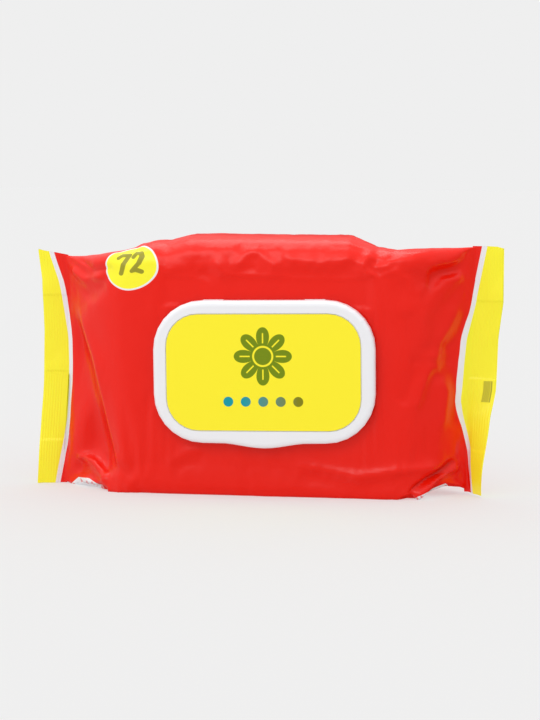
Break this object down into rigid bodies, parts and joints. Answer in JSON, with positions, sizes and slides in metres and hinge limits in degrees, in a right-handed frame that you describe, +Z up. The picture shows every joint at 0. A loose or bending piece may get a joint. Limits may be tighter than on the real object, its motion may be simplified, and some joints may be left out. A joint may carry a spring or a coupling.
{
  "type": "wet wipes pack",
  "caption": "Gusseted film pouch of wet wipes standing on its long side, with crimped end seals and a moulded flip lid over its dispensing opening.",
  "frame": {"origin": "on the floor, half way between the ends and half way between the lid's face and the back seam", "axes": "+X along the pack's length, -Y out of its front with the lid, +Z up"},
  "size_m": [0.226, 0.062, 0.1225],
  "materials": {
    "film": "satin printed film",
    "lid_plastic": "satin",
    "label": "satin printed label",
    "seal_film": "glossy"
  },
  "bodies": {
    "pack": {"film_pouch": "film", "lid_frame": "lid_plastic", "opening_seal": "seal_film"},
    "lid": {"flip_lid": "lid_plastic", "lid_label": "label"}
  },
  "joints": [
    {"name": "lid_hinge", "type": "hinge", "parent": "pack", "child": "lid", "pos_m": [0.00091, -0.02335, 0.09359], "axis": [-0.9998, 0, -0.0174], "range_deg": [0, 100]}
  ]
}
